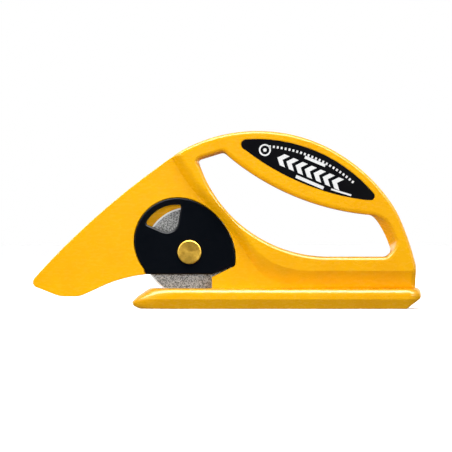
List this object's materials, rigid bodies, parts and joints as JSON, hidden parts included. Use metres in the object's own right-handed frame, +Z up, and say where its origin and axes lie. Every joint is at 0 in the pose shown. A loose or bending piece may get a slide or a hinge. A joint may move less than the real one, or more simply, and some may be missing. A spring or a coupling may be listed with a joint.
{
  "type": "closed-handle rotary cutter",
  "caption": "Hand-held circular-blade cutter with a closed handle, an under-guide runner, a lift-off blade cover with a window, and a clamping knob at the back.",
  "frame": {"origin": "on the runner's flat sole, directly below the blade's pivot axis, in the blade's plane", "axes": "+Z up from the sole; -X towards the nose and the cutting direction; -Y is the side with the blade cover"},
  "size_m": [0.1937, 0.0263, 0.0886],
  "materials": {
    "body_plastic": "satin moulded",
    "cover_plastic": "fine matt",
    "knob_plastic": "fine matt",
    "blade_steel": "ground",
    "screw_steel": "zinc plated",
    "washer_steel": "bright",
    "pin_brass": "turned",
    "label_film": "satin film",
    "label_ink": "printed"
  },
  "bodies": {
    "root": {"front_shell": "body_plastic", "back_shell": "body_plastic", "long_screws": "screw_steel", "short_screws": "screw_steel", "label": "label_film", "label_print": "label_ink"},
    "cover": {"blade_cover": "cover_plastic", "pivot_pin": "pin_brass"},
    "blade": {"blade": "blade_steel"},
    "washers": {"flat_washer": "washer_steel", "wave_washer": "washer_steel"},
    "knob": {"knob": "knob_plastic", "knob_insert": "pin_brass"}
  },
  "joints": [
    {"name": "blade_spin", "type": "hinge", "parent": "root", "child": "blade", "pos_m": [0, 0, 0.0283], "axis": [0, 1, 0], "continuous": true},
    {"name": "cover_release", "type": "slide", "parent": "root", "child": "cover", "axis": [0, -1, 0], "range_m": [0, 0.022]},
    {"name": "knob_travel", "type": "slide", "parent": "root", "child": "washers", "axis": [0, 1, 0], "range_m": [0, 0.006]},
    {"name": "knob_turn", "type": "hinge", "parent": "washers", "child": "knob", "pos_m": [0, 0, 0.0283], "axis": [0, 1, 0], "range_deg": [0, 2160]}
  ],
  "couplings": [
    {"joint": "knob_travel", "follows": "knob_turn", "m_per_rad": 0.00015915}
  ]
}
